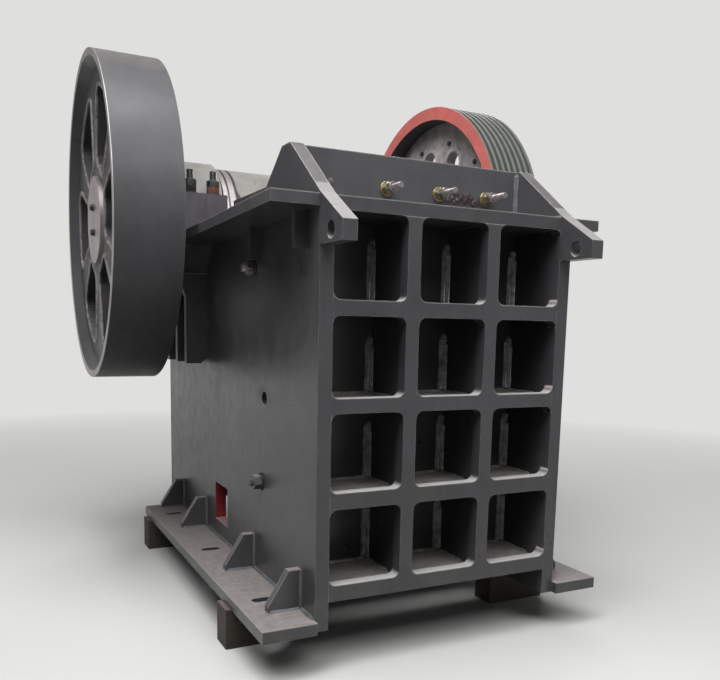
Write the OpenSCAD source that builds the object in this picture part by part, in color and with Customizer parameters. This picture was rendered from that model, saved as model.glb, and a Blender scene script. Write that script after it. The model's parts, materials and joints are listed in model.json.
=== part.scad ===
// Single-toggle jaw crusher on loose support blocks. Millimetres, +Z up.
// The origin is on the ground in the middle of the footprint. The front is towards -Y, and every length
// along Y below is counted from the face of the front grid.

/* [Support blocks] */
// Height of a block, from the ground to the frame
block_h = 163; // [120:1:220]
// Length of a block across the machine
block_w = 300; // [240:5:340]
// Depth of a block along the machine
block_d = 120; // [80:5:160]
// Middle of the front blocks, behind the grid face
block_front_y = 400; // [380:10:600]
// Middle of the rear blocks, in front of the side plates' rear edge
block_rear_in = 370; // [350:5:390]

/* [Frame] */
// Clear width between the side plates
inner_w = 1000; // [900:10:1100]
// Thickness of each side plate
side_t = 55; // [45:1:65]
// Length of the side plates
side_len = 2250; // [2150:10:2350]
// Height of the crushing shaft above the side plates' bottom edge
shaft_h = 1607; // [1600:1:1630]
// Distance of the shaft behind the grid face
shaft_y = 1640; // [1620:1:1660]
// Height of the level seat under the bearings, above the side plates' bottom edge
seat_h = 1534; // [1520:1:1545]
// Width of the window in each side plate
window_w = 204; // [150:1:220]
// Height of the window in each side plate
window_h = 190; // [150:1:200]

/* [Front grid] */
// Height of the lowest pockets' floor above the side plates' bottom edge
pocket_floor = 167; // [150:1:190]
// Heights of the four rows of pockets, lowest first
pocket_heights = [286, 291, 294, 305]; // [250:1:320]
// Heights of the bars between the rows, lowest first
level_bars = [61, 55, 57]; // [50:1:70]
// Width of the upright bars between the pockets
upright_bar = 55; // [50:1:70]
// Height of the bar under the lowest pockets
bottom_bar = 60; // [45:1:80]
// Thickness of the face plate that the windows are cut in
face_t = 50; // [30:1:60]
// Corner radius of the windows
window_r = 30; // [20:1:50]
// Depth from the grid face to the front wall
pocket_depth = 305; // [280:1:320]
// Thickness of the ribs behind the face plate
rib_t = 30; // [20:1:40]

/* [Front wall and collar] */
// Thickness of the front wall plate
wall_t = 50; // [40:1:60]
// Thickness of the collar shelf
collar_t = 50; // [40:1:60]
// Thickness of the top flanges
flange_t = 42; // [36:1:50]
// Height of the front wall above the collar
wall_rise = 220; // [200:1:240]
// Reach of the left top flange beyond the side plate
flange_reach_left = 180; // [160:1:200]
// Reach of the right top flange beyond the side plate
flange_reach_right = 140; // [120:1:180]

/* [Lifting lugs] */
// Reach of the lug's nose in front of the grid
nose_reach = 181; // [150:1:200]
// Height of the nose's front face
nose_h = 69; // [60:1:90]
// Radius of the lifting eye
eye_r = 30; // [20:1:32]

/* [Base flanges] */
// Width of the base flange beyond the side plate
base_w = 212; // [190:1:230]
// Thickness of the base flange
base_t = 46; // [36:1:56]
// Distance of the base flange's rear end from the side plates' rear edge
base_rear_in = 254; // [220:1:280]
// Reach of the base flange in front of the grid
base_front = 30; // [0:1:50]
// Width of the bolt slots
slot_w = 45; // [30:1:50]
// Length of the bolt slots
slot_l = 90; // [80:1:110]
// Distances of the two front bolt slots behind the grid face
slot_front_ys = [283, 1022]; // [260:1:1100]
// Distance of the rear bolt slot from the side plates' rear edge
slot_rear_in = 483; // [460:1:500]
// Distances of the front gussets behind the grid face
gusset_front_ys = [150, 690]; // [100:1:700]
// Distances of the rear gussets from the side plates' rear edge
gusset_rear_in = [790, 310]; // [300:1:800]
// Thickness of the gussets
gusset_t = 35; // [25:1:45]
// Height of the gussets above the flange
gusset_h = 155; // [120:1:180]
// Foot width of the gussets
gusset_w = 132; // [110:1:150]

/* [Bearings and shaft] */
// Radius of the bearing housings
housing_r = 324; // [310:1:330]
// Width of the bearing housings
housing_w = 250; // [240:1:255]
// Distance of the housings' inner ends from the side plates' inner faces, into the plates
housing_in = 5; // [2:1:20]
// Height of the cap's bolting lugs above the shaft's axis
cap_lug_h = 120; // [100:1:140]
// Reach of the housings' shoulders beyond the round housing
shoulder_w = 56; // [50:1:70]
// Radius of the shaft in its bearings
journal_r = 130; // [120:1:135]
// Radius of the shaft's ends in the hubs
shaft_end_r = 110; // [100:1:115]
// Radius of the eccentric part of the shaft
eccentric_r = 165; // [155:1:170]
// Offset of the eccentric from the shaft's axis
eccentric_e = 12; // [8:1:14]

/* [Wheels] */
// Outer radius of the flywheel and of the pulley
wheel_r = 777; // [760:1:790]
// Distance of the wheels' outer faces from the side plates
wheel_out = 541; // [535:1:560]
// Distance of the hub faces from the side plates
hub_out = 490; // [480:1:500]
// Radius of the hubs
hub_r = 220; // [200:1:230]
// Width of the flywheel's rim
flywheel_w = 298; // [270:1:310]
// Thickness of the flywheel's rim at its open edges
flywheel_lip = 32; // [26:1:45]
// Thickness of the flywheel's rim at its web
flywheel_root = 62; // [55:1:75]
// Depth from the flywheel's outer edge to its web
flywheel_recess = 48; // [40:1:70]
// Thickness of the flywheel's web
flywheel_web = 70; // [60:1:80]
// Number of windows in the flywheel
window_count = 6; // [4:1:8]
// Half of a window's opening angle
window_half = 20; // [16:1:20]
// Corner radius of the flywheel's windows
window_corner = 55; // [30:1:60]
// Width of the pulley's rim
pulley_w = 276; // [250:1:290]
// Thickness of the pulley's rim
pulley_rim = 69; // [60:1:80]
// Depth from the pulley's inner edge to its web
pulley_recess = 100; // [80:1:120]
// Thickness of the pulley's web
pulley_web = 50; // [40:1:60]
// Number of round holes in the pulley's web
hole_count = 12; // [6:1:12]
// Radius of the holes in the pulley's web
hole_r = 68; // [50:1:72]
// Distance of the holes from the pulley's axis
hole_at = 490; // [480:1:500]
// Thickness of the hub covers
hub_cover_t = 20; // [15:1:30]
// Number of belt grooves
groove_count = 7; // [6:1:8]
// Depth of the belt grooves
groove_d = 24; // [15:1:28]

/* [Jaws] */
// Thickness of the jaw plates, teeth included
jaw_t = 95; // [80:1:100]
// Height of the teeth
tooth_h = 28; // [15:1:35]
// Number of teeth on a jaw plate
tooth_count = 12; // [8:1:16]
// Thickness of the cheek plates
cheek_t = 45; // [35:1:50]
// Gap between the swing jaw and each cheek plate
jaw_side_gap = 18; // [15:1:25]
// Height of the swing jaw's lower tip above the ground
jaw_tip_z = 380; // [380:1:420]
// Discharge gap between the jaw plates at their lower end
discharge_gap = 110; // [90:1:120]
// Slope of the swing jaw from upright
jaw_angle = 19.3; // [18.8:0.1:19.6]
// Length of the jaw plates
jaw_len = 1480; // [1400:10:1500]

/* [Hidden] */
$fn = 64;
seat_gap = 0.3;
run_gap = 0.1;
base_z = block_h;
outer_x = inner_w / 2 + side_t;
column_w = (inner_w - 2 * upright_bar) / 3;
function total(v, n = 0) = n < len(v) ? v[n] + total(v, n + 1) : 0;
// Floor height of pocket row i, counted from the lowest
function row_rise(i) = i > 0 ? total([for (k = [0:i - 1]) pocket_heights[k] + level_bars[k]]) : 0;
function row_z(i) = base_z + pocket_floor + row_rise(i);
collar_z = row_z(3) + pocket_heights[3];
collar_top = collar_z + collar_t;
grid_low = row_z(0) - bottom_bar;
wall_top = collar_top + wall_rise;
seat_z = base_z + seat_h;
shaft_z = base_z + shaft_h;
shaft_at = [shaft_y, shaft_z];
base_top = base_z + base_t;
// The top flange slopes from the collar down to the level seat
seat_margin = 30;
seat_reach = housing_r + shoulder_w + seat_margin;
slope_end_y = shaft_y - seat_reach;
seat_end_y = shaft_y + seat_reach;
function flange_top(y) = y < slope_end_y ? collar_top + (seat_z - collar_top) * y / slope_end_y : seat_z;
// Lug corners on the side plate
nose_drop = 171;
nose_low = collar_top - nose_drop;
lug_kink = 6;
lug_top_front = 285;
lug_top_rear = 369;
lug_rear = 700;
eye_y = -90;
eye_up = 42;
eye_z = nose_low + eye_up;
side_rear_drop = 254;
window_y = 1076;
window_up = 127;
window_z = base_z + window_up;
side_hole_r = 30;
side_hole_y = 553;
side_hole_up = 809;
side_hole_z = base_z + side_hole_up;
slot_out = 100;
slot_x = outer_x + slot_out;
housing_x = inner_w / 2 - housing_in;
housing_end = housing_x + housing_w;
hub_face = outer_x + hub_out;
wheel_face = outer_x + wheel_out;
hub_clear = 45;
hub_in = housing_end + hub_clear;
slot_ys = [each slot_front_ys, side_len - slot_rear_in];
gusset_ys = [each gusset_front_ys, for (d = gusset_rear_in) side_len - d];
gusset_heel = 25;
gusset_tip = 50;
// Brackets under the bearings, and the small gussets under the top flanges
bracket_ys = [-190, 0, 190];
bracket_t = 40;
bracket_foot = 105;
bracket_low = 1070;
bracket_neck = 250;
bracket_edge = 60;
snipe = 30;
stay_ys = [122, 609];
stay_t = 25;
stay_w = 45;
stay_h = 130;
// Swing jaw
jaw_face_y = pocket_depth + wall_t + jaw_t;
tip_y = jaw_face_y + discharge_gap;
fixed_jaw_low = 250;
fixed_jaw_top = 1850;
jaw_half = inner_w / 2 - cheek_t - jaw_side_gap;
cheek_back = 150;
cheek_drop = 60;
cheek_rise = 1250;
barrel_r = 315;
barrel_in = 90;
barrel_half = inner_w / 2 - barrel_in;
ring_gap = 12;
ring_end = housing_x - ring_gap;
eccentric_at = [shaft_y, shaft_z - eccentric_e];
pitman_slab = 110;
pitman_rib_t = 45;
pitman_over = 60;
beam_depth = 335;
beam_h = 260;
// The point [y, z] as seen along the swing jaw's face, from its tip
function along_jaw(p) = let(d = p - [tip_y, jaw_tip_z])
    [d[0] * cos(jaw_angle) - d[1] * sin(jaw_angle), d[0] * sin(jaw_angle) + d[1] * cos(jaw_angle)];
barrel_at = along_jaw(eccentric_at);
// How far the neck and the ribs reach into the barrel, as a share of its radius
neck_share = 0.93;
rib_share = 0.9;
neck_top = barrel_at + neck_share * barrel_r * [-cos(28), sin(28)];
neck_low = barrel_at - neck_share * barrel_r * [sin(33), cos(33)];
neck_h = 230;
// Toggle
rear_wall_t = 60;
rear_rib_d = 110;
rear_wall_y = side_len - rear_rib_d - rear_wall_t;
rear_wall_up = 47;
rear_wall_low = base_z + rear_wall_up;
rear_wall_top = 1400;
rear_rib_t = 40;
rear_rib_xs = [-inner_w / 6, inner_w / 6];
rear_rib_low = 360;
rear_rib_zs = [for (i = [0:3]) rear_rib_low + i * (rear_wall_top - rear_rib_t - rear_rib_low) / 3];
toggle_r = 35;
toggle_t = 56;
toggle_side = 200;
toggle_half = inner_w / 2 - toggle_side;
// Room round the toggle and the rod's pin, for the swing jaw's small circle and a running clearance
open_gap = eccentric_e + 5;
orbit_low = [0, -eccentric_e];
toggle_in = 487;
toggle_up = 22;
toggle_rise = 120;
seat_d = 150;
seat_lap = 10;
seat_block_h = 190;
seat_side = 100;
seat_half = inner_w / 2 - seat_side;
wedge_d = 250;
toggle_front = [tip_y + toggle_in, jaw_tip_z + toggle_up];
toggle_rear = [rear_wall_y - wedge_d - seat_d + seat_lap, toggle_front[1] + toggle_rise];
shelf_t = 60;
shelf_lap = 60;
shelf_z = toggle_rear[1] - toggle_rise - shelf_t;
// Tension rod
rod_r = 22;
rod_drop = 110;
rod_in = 475;
rod_out = 200;
rod_z = jaw_tip_z - rod_drop;
rod_pin_y = tip_y + rod_in;
rod_eye_r = 32;
rod_pin_r = 14;
rod_hole_r = 40;
rod_end_y = side_len + rod_out;
lug_hole_r = rod_pin_r + open_gap;
lug_t = 25;
lug_in = 35;
lug_rim = 20;
lug_root = 90;
pitman_rib_in = 25;
// Rear edge of the swing jaw's ribs, from the jaw plate's back and from the top of slab or beam
rib_edge = [[470, -100], [230, 120], [305, 0]];
spring_seat_r = 68;
spring_seat_t = 15;
spring_r = 52;
spring_wire_r = 9;
spring_len = 210;
spring_turns = 6;
spring_low_y = rear_wall_y + rear_wall_t + seat_gap + spring_seat_t;
nut_y = spring_low_y + spring_len + 2 * seat_gap;
// Footprint
front_end = -nose_reach;
rear_end = max(rod_end_y, shaft_y + wheel_r, side_len);
mid_y = (front_end + rear_end) / 2;

// Wheels
bore_r = shaft_end_r + seat_gap;
hub_draft = 8;
window_in = 50;
window_rim = 95;
groove_land = 12;
hole_turn = 7;
boss_w = 24;
boss_h = 12;

charcoal = [0.285, 0.288, 0.30];
machined = [0.62, 0.62, 0.63];
primer = [0.45, 0.10, 0.10];
manganese = [0.24, 0.23, 0.22];
timber = [0.20, 0.17, 0.14];

// Moves a piece from the grid face to the row's frame
module placed() { translate([0, -mid_y, 0]) children(); }

// A plate across the machine: its outline is in Y and Z, its thickness runs from x0 towards +X
module across(x0, t) { translate([x0, 0, 0]) rotate([90, 0, 90]) linear_extrude(t) children(); }

// A plate along the machine: its outline is in X and Z, its thickness runs from y0 towards +Y
module along(y0, t) { translate([0, y0 + t, 0]) rotate([90, 0, 0]) linear_extrude(t) children(); }

// A box from its lowest to its highest corner
module span(low, high) { translate(low) cube(high - low); }

// A round bar along X about the point [y, z]
module bar_x(x0, x1, r, at) { translate([x0, at[0], at[1]]) rotate([0, 90, 0]) cylinder(r = r, h = x1 - x0); }

// A round bar along Y about the point [x, z]
module bar_y(y0, y1, r, at) {
    translate([at[0], y0, at[1]]) rotate([-90, 0, 0]) cylinder(r = r, h = y1 - y0);
}

module rounded(w, h, r) {
    translate([r, 0]) square([w - 2 * r, h]);
    translate([0, r]) square([w, h - 2 * r]);
    for (x = [r, w - r], y = [r, h - r]) translate([x, y]) circle(r);
}

// The round pocket that a bearing housing is let into
module housing_room(side) {
    x0 = side < 0 ? -wheel_face : housing_x - 1;
    bar_x(x0, x0 + wheel_face - housing_x + 1, housing_r + seat_gap, shaft_at);
}

module side_outline() {
    polygon([
        [0, base_z], [0, nose_low], [-nose_reach, nose_low], [-nose_reach, nose_low + nose_h],
        [0, collar_top + lug_kink], [lug_top_front, wall_top], [lug_top_rear, wall_top],
        [lug_rear, flange_top(lug_rear)], [slope_end_y, seat_z], [seat_end_y, seat_z],
        [side_len, seat_z - side_rear_drop], [side_len, base_z]
    ]);
}

module side_plate(side) {
    x0 = side < 0 ? -outer_x : inner_w / 2;
    difference() {
        across(x0, side_t) side_outline();
        housing_room(side);
        bar_x(x0 - 1, x0 + side_t + 1, eye_r, [eye_y, eye_z]);
        bar_x(x0 - 1, x0 + side_t + 1, side_hole_r, [side_hole_y, side_hole_z]);
        span([x0 - 1, window_y, window_z], [x0 + side_t + 1, window_y + window_w, window_z + window_h]);
    }
}

module side_plate_left() { color(charcoal) placed() side_plate(-1); }
module side_plate_right() { color(charcoal) placed() side_plate(1); }

module front_wall() {
    color(charcoal) placed()
        span([-inner_w / 2, pocket_depth, grid_low], [inner_w / 2, pocket_depth + wall_t, wall_top]);
}

// The face plate with its twelve round-cornered windows
module front_grid() {
    color(charcoal) placed() along(0, face_t) difference() {
        translate([-inner_w / 2, grid_low]) square([inner_w, collar_z - grid_low]);
        for (row = [0:3], col = [0:2])
            translate([-inner_w / 2 + col * (column_w + upright_bar), row_z(row)])
                rounded(column_w, pocket_heights[row], window_r);
    }
}

module front_ribs_upright() {
    color(charcoal) placed() for (side = [-1, 1]) {
        middle = side * (column_w + upright_bar) / 2;
        span([middle - rib_t / 2, face_t, grid_low], [middle + rib_t / 2, pocket_depth, collar_z]);
    }
}

// Three lengths of shelf at each level, between the uprights
module front_ribs_level() {
    uprights = (column_w + upright_bar) / 2;
    ends = [-inner_w / 2, -uprights, uprights, inner_w / 2];
    middles = [grid_low + bottom_bar / 2, for (i = [1:3]) row_z(i) - level_bars[i - 1] / 2];
    color(charcoal) placed() for (z = middles, i = [0:2])
        span([ends[i] + (i > 0 ? rib_t / 2 : 0), face_t, z - rib_t / 2],
             [ends[i + 1] - (i < 2 ? rib_t / 2 : 0), pocket_depth, z + rib_t / 2]);
}

module top_collar() {
    color(charcoal) placed()
        span([-inner_w / 2, 0, collar_z], [inner_w / 2, pocket_depth, collar_top]);
}

// A top flange, with the small gussets that stand between it and the side plate
module top_flange(side, reach) {
    x0 = side < 0 ? -outer_x - reach : outer_x;
    stay_x = side < 0 ? -outer_x - stay_w : outer_x;
    difference() {
        union() {
            across(x0, reach) polygon([
                [0, collar_top - flange_t], [0, collar_top], [slope_end_y, seat_z], [seat_end_y, seat_z],
                [seat_end_y, seat_z - flange_t], [slope_end_y, seat_z - flange_t]
            ]);
            for (y = stay_ys) let(under = flange_top(y) - flange_t)
                span([stay_x, y, under - stay_h], [stay_x + stay_w, y + stay_t, under + flange_t / 2]);
        }
        housing_room(side);
    }
}

module top_flange_left() { color(charcoal) placed() top_flange(-1, flange_reach_left); }
module top_flange_right() { color(charcoal) placed() top_flange(1, flange_reach_right); }

module base_flange(side) {
    x0 = side < 0 ? -outer_x - base_w : outer_x;
    difference() {
        span([x0, -base_front, base_z], [x0 + base_w, side_len - base_rear_in, base_top]);
        for (y = slot_ys) translate([side * slot_x, y, base_z - 1]) {
            reach = (slot_l - slot_w) / 2;
            translate([-reach, -slot_w / 2, 0]) cube([2 * reach, slot_w, base_t + 2]);
            for (x = [-reach, reach]) translate([x, 0, 0]) cylinder(d = slot_w, h = base_t + 2);
        }
    }
}

module base_flange_left() { color(charcoal) placed() base_flange(-1); }
module base_flange_right() { color(charcoal) placed() base_flange(1); }

module base_gussets(side) {
    for (y = gusset_ys) along(y - gusset_t / 2, gusset_t) polygon([
        [side * outer_x, base_top], [side * (outer_x + gusset_w), base_top],
        [side * (outer_x + gusset_w), base_top + gusset_heel],
        [side * (outer_x + gusset_tip), base_top + gusset_h],
        [side * outer_x, base_top + gusset_h]
    ]);
}

module base_gussets_left() { color(charcoal) placed() base_gussets(-1); }
module base_gussets_right() { color(charcoal) placed() base_gussets(1); }

// Lower half of a bearing housing, with shoulders on the level seat
module bearing_base(side) {
    x0 = side < 0 ? -housing_end : housing_x;
    half = housing_r + shoulder_w;
    difference() {
        union() {
            intersection() {
                bar_x(x0, x0 + housing_w, housing_r, shaft_at);
                span([x0, shaft_y - half, shaft_z - half], [x0 + housing_w, shaft_y + half, shaft_z]);
            }
            span([x0, shaft_y - half, seat_z], [x0 + housing_w, shaft_y + half, shaft_z]);
        }
        bar_x(x0 - 1, x0 + housing_w + 1, journal_r + run_gap, shaft_at);
    }
}

module bearing_base_left() { color(machined) placed() bearing_base(-1); }
module bearing_base_right() { color(machined) placed() bearing_base(1); }

// Upper half of a bearing housing, with the bolting lugs at the joint
module bearing_cap(side) {
    x0 = side < 0 ? -housing_end : housing_x;
    half = housing_r + shoulder_w;
    difference() {
        union() {
            intersection() {
                bar_x(x0, x0 + housing_w, housing_r, shaft_at);
                span([x0, shaft_y - half, shaft_z], [x0 + housing_w, shaft_y + half, shaft_z + half]);
            }
            span([x0, shaft_y - half, shaft_z], [x0 + housing_w, shaft_y + half, shaft_z + cap_lug_h]);
        }
        bar_x(x0 - 1, x0 + housing_w + 1, journal_r + run_gap, shaft_at);
    }
}

module bearing_cap_left() { color(machined) placed() bearing_cap(-1); }
module bearing_cap_right() { color(machined) placed() bearing_cap(1); }

// Brackets under the top flange that carry the bearing's overhang
module bearing_ribs(side, reach) {
    top = seat_z - flange_t;
    for (y = bracket_ys) difference() {
        along(shaft_y + y - bracket_t / 2, bracket_t) polygon([for (p = [
            [0, top], [reach, top], [reach, top - bracket_edge], [bracket_foot, top - bracket_neck],
            [bracket_foot, bracket_low], [snipe, bracket_low], [0, bracket_low + snipe]
        ]) [side * (outer_x + p[0]), p[1]]]);
        housing_room(side);
    }
}

module bearing_ribs_left() { color(charcoal) placed() bearing_ribs(-1, flange_reach_left); }
module bearing_ribs_right() { color(charcoal) placed() bearing_ribs(1, flange_reach_right); }

// Outline of a jaw plate seen along its length: the flat back lies at y = 0 and the teeth point to +Y
module toothed(half) {
    pitch = 2 * half / tooth_count;
    valley = jaw_t - tooth_h;
    polygon([
        [-half, 0],
        for (i = [0:tooth_count - 1], p = [[0.05, valley], [0.32, jaw_t], [0.68, jaw_t], [0.95, valley]])
            [-half + (i + p[0]) * pitch, p[1]],
        [half, 0]
    ]);
}

module fixed_jaw_plate() {
    color(manganese) placed() translate([0, pocket_depth + wall_t, fixed_jaw_low])
        linear_extrude(fixed_jaw_top - fixed_jaw_low) toothed(inner_w / 2 - cheek_t);
}

// Stands its children on the swing jaw's tip: +Z runs up the jaw's face and +Y into the jaw
module on_jaw() { translate([0, tip_y, jaw_tip_z]) rotate([-jaw_angle, 0, 0]) children(); }

module moving_jaw_plate() {
    color(manganese) placed() on_jaw() translate([0, jaw_t, 0]) rotate([0, 0, 180])
        linear_extrude(jaw_len) toothed(jaw_half);
}

module cheek_plate(side) {
    x0 = side < 0 ? -inner_w / 2 : inner_w / 2 - cheek_t;
    low = jaw_tip_z - cheek_drop;
    lean = tan(jaw_angle) * cheek_rise + cheek_back;
    across(x0, cheek_t) polygon([
        [jaw_face_y + 1, low], [jaw_face_y + 1, fixed_jaw_top], [tip_y + lean, fixed_jaw_top],
        [tip_y + lean, jaw_tip_z + cheek_rise], [tip_y + cheek_back, jaw_tip_z], [tip_y + cheek_back, low]
    ]);
}

module cheek_plate_left() { color(manganese) placed() cheek_plate(-1); }
module cheek_plate_right() { color(manganese) placed() cheek_plate(1); }

// The wall between the swing jaw's slab and its barrel
module neck() {
    back = jaw_t + pitman_slab;
    on_jaw() across(-jaw_half, 2 * jaw_half) polygon([
        [jaw_t, jaw_len + pitman_over], neck_top, neck_low, [back, jaw_len - neck_h],
        [jaw_t + pitman_slab / 2, jaw_len - neck_h]
    ]);
}

// Swing jaw body: barrel, neck and slab, and the lower beam with its toggle groove and rod lugs
module pitman() {
    lug_r = lug_hole_r + lug_rim;
    pin_at = [rod_pin_y, rod_z] + orbit_low;
    color(charcoal) placed() difference() {
        union() {
            on_jaw() {
                translate([-jaw_half, jaw_t, 0]) cube([2 * jaw_half, pitman_slab, jaw_len + pitman_over]);
                translate([-jaw_half, jaw_t, 0]) cube([2 * jaw_half, beam_depth, beam_h]);
            }
            intersection() {
                neck();
                span([-barrel_half, 0, 0], [barrel_half, side_len, wall_top + wheel_r]);
            }
            bar_x(-barrel_half, barrel_half, barrel_r, eccentric_at);
            for (x = [-lug_in - lug_t, lug_in]) {
                bar_x(x, x + lug_t, lug_r, pin_at);
                span([x, rod_pin_y - lug_root, pin_at[1] - lug_hole_r],
                     [x + lug_t, rod_pin_y, pin_at[1] + lug_hole_r]);
            }
        }
        bar_x(-jaw_half - 1, jaw_half + 1, eccentric_r + run_gap, eccentric_at);
        bar_x(-jaw_half - 1, jaw_half + 1, toggle_r + open_gap, toggle_front + orbit_low);
        bar_x(-lug_in - lug_t - 1, lug_in + lug_t + 1, lug_hole_r, pin_at);
    }
}

// Four plates that stiffen the swing jaw between slab, beam, neck and barrel
module pitman_ribs() {
    half = barrel_half - pitman_rib_in;
    back = jaw_t + pitman_slab;
    color(charcoal) placed() for (i = [0:3]) difference() {
        on_jaw() across(-half + i * (2 * half - pitman_rib_t) / 3, pitman_rib_t) polygon([
            [back, beam_h], [back, jaw_len], barrel_at,
            barrel_at + rib_share * barrel_r * [cos(47), -sin(47)],
            [jaw_t + rib_edge[0][0], jaw_len + rib_edge[0][1]],
            for (i = [1, 2]) [jaw_t + rib_edge[i][0], beam_h + rib_edge[i][1]]
        ]);
        neck();
        bar_x(-jaw_half, jaw_half, barrel_r + seat_gap, eccentric_at);
    }
}

// Stepped end rings of the barrel: where each step starts, and its share of the barrel's radius
module barrel_rings() {
    steps = [[0, 0.92], [0.2, 1], [0.57, 0.92], [0.71, 1]];
    width = ring_end - barrel_half;
    color(machined) placed() for (side = [-1, 1]) difference() {
        for (i = [0:len(steps) - 1]) {
            from = barrel_half + steps[i][0] * width;
            to = i < len(steps) - 1 ? barrel_half + steps[i + 1][0] * width : ring_end;
            bar_x(side < 0 ? -to : from, side < 0 ? -from : to, barrel_r * steps[i][1], eccentric_at);
        }
        bar_x(-inner_w, inner_w, eccentric_r + run_gap, eccentric_at);
    }
}

module eccentric_shaft() {
    step_x = housing_end + 30;
    tip_x = hub_face - 2;
    color(machined) placed() union() {
        bar_x(-ring_end, ring_end, eccentric_r, eccentric_at);
        bar_x(-step_x, step_x, journal_r, shaft_at);
        bar_x(-tip_x, tip_x, shaft_end_r, shaft_at);
    }
}

// Flywheel: a hub and a rim with sloping insides, joined by a web with windows
module flywheel() {
    inner = wheel_face - flywheel_w;
    web_out = wheel_face - flywheel_recess;
    web_in = web_out - flywheel_web;
    lip_r = wheel_r - flywheel_lip;
    root_r = wheel_r - flywheel_root;
    foot_r = hub_r + hub_draft;
    color(charcoal) placed() translate([0, shaft_y, shaft_z]) difference() {
        rotate([0, -90, 0]) rotate_extrude($fn = 96) polygon([
            [bore_r, hub_in], [bore_r, hub_face], [hub_r, hub_face], [foot_r, web_out], [root_r, web_out],
            [lip_r, wheel_face], [wheel_r, wheel_face], [wheel_r, inner], [lip_r, inner], [root_r, web_in],
            [foot_r, web_in], [hub_r, hub_in]
        ]);
        for (i = [0:window_count - 1]) rotate([(i + 0.5) * 360 / window_count, 0, 0]) rotate([0, -90, 0])
            translate([0, 0, web_in - 1]) linear_extrude(flywheel_web + 2)
                kidney(hub_r + window_in, root_r - window_rim, window_half, window_corner);
    }
}

// Points along an arc about the point c, from one angle to another
function arc(c, r, from, to, steps) = [
    for (i = [0:steps]) let(a = from + (to - from) * i / steps) c + r * [cos(a), sin(a)]
];

// A window between two arcs and two spokes with round corners; half is half its opening angle
module kidney(inner_r, outer_r, half, r) {
    turn_out = asin(r / (outer_r - r));
    turn_in = asin(r / (inner_r + r));
    out = (outer_r - r) * [cos(half - turn_out), sin(half - turn_out)];
    in = (inner_r + r) * [cos(half - turn_in), sin(half - turn_in)];
    upper = [
        each arc([0, 0], outer_r, 0, half - turn_out, 3), each arc(out, r, half - turn_out, half + 90, 5),
        each arc(in, r, half + 90, 180 + half - turn_in, 5), each arc([0, 0], inner_r, half - turn_in, 0, 2)
    ];
    polygon([each upper, for (i = [len(upper) - 2:-1:1]) [upper[i][0], -upper[i][1]]]);
}

// Grooved belt pulley: the web stands near the middle of the rim and has a ring of bossed holes
module drive_pulley() {
    rim_r = wheel_r - pulley_rim;
    inner = wheel_face - pulley_w;
    web_in = inner + pulley_recess;
    web_out = web_in + pulley_web;
    foot_r = hub_r + hub_draft;
    pitch = (pulley_w - groove_land) / groove_count;
    color(charcoal) placed() translate([0, shaft_y, shaft_z]) difference() {
        union() {
            rotate([0, 90, 0]) rotate_extrude($fn = 96) polygon([
                [bore_r, hub_in], [hub_r, hub_in], [foot_r, web_in], [rim_r, web_in], [rim_r, inner],
                [wheel_r, inner],
                for (i = [0:groove_count - 1]) let(x = inner + groove_land + i * pitch) each [
                    [wheel_r, x], [wheel_r - groove_d, x + pitch * 0.22],
                    [wheel_r - groove_d, x + pitch * 0.44], [wheel_r, x + pitch * 0.66]
                ],
                [wheel_r, wheel_face], [rim_r, wheel_face], [rim_r, web_out], [foot_r, web_out],
                [hub_r, hub_face], [bore_r, hub_face]
            ]);
            web_holes(web_in - boss_h, hole_r + boss_w, pulley_web);
        }
        web_holes(web_in - boss_h - 1, hole_r, pulley_web + boss_h + 2);
    }
}

// The ring of round holes in the pulley's web, or of the bosses round them
module web_holes(x, r, h) {
    for (i = [0:hole_count - 1]) rotate([i * 360 / hole_count - hole_turn, 0, 0])
        translate([x, 0, hole_at]) rotate([0, 90, 0]) cylinder(r = r, h = h, $fn = 48);
}

module hub_cover(side) {
    x0 = side < 0 ? -hub_face - hub_cover_t : hub_face;
    bar_x(x0, x0 + hub_cover_t, hub_r - 10, shaft_at);
}

module hub_cover_left() { color(machined) placed() hub_cover(-1); }
module hub_cover_right() { color(machined) placed() hub_cover(1); }

module rear_wall() {
    color(primer) placed() difference() {
        span([-inner_w / 2, rear_wall_y, rear_wall_low],
             [inner_w / 2, rear_wall_y + rear_wall_t, rear_wall_top]);
        bar_y(rear_wall_y - 1, rear_wall_y + rear_wall_t + 1, rod_hole_r, [0, rod_z]);
    }
}

// Uprights on the outside of the rear wall
module rear_ribs_upright() {
    y0 = rear_wall_y + rear_wall_t;
    color(charcoal) placed() for (x = rear_rib_xs)
        span([x - rear_rib_t / 2, y0, rear_rib_zs[0]], [x + rear_rib_t / 2, side_len, rear_wall_top]);
}

// Lengths of shelf between the rear uprights
module rear_ribs_level() {
    y0 = rear_wall_y + rear_wall_t;
    ends = [-inner_w / 2, rear_rib_xs[0], rear_rib_xs[1], inner_w / 2];
    color(charcoal) placed() for (z = rear_rib_zs, i = [0:2])
        span([ends[i] + (i > 0 ? rear_rib_t / 2 : 0), y0, z],
             [ends[i + 1] - (i < 2 ? rear_rib_t / 2 : 0), side_len, z + rear_rib_t]);
}

module toggle_shelf() {
    color(primer) placed()
        span([-inner_w / 2, toggle_rear[0] - shelf_lap, shelf_z],
             [inner_w / 2, rear_wall_y, shelf_z + shelf_t]);
}

module toggle_seat() {
    y0 = toggle_rear[0] - seat_lap;
    color(primer) placed() difference() {
        span([-seat_half, y0, shelf_z + shelf_t], [seat_half, y0 + seat_d, shelf_z + shelf_t + seat_block_h]);
        bar_x(-seat_half - 1, seat_half + 1, toggle_r + seat_gap, toggle_rear);
    }
}

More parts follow.
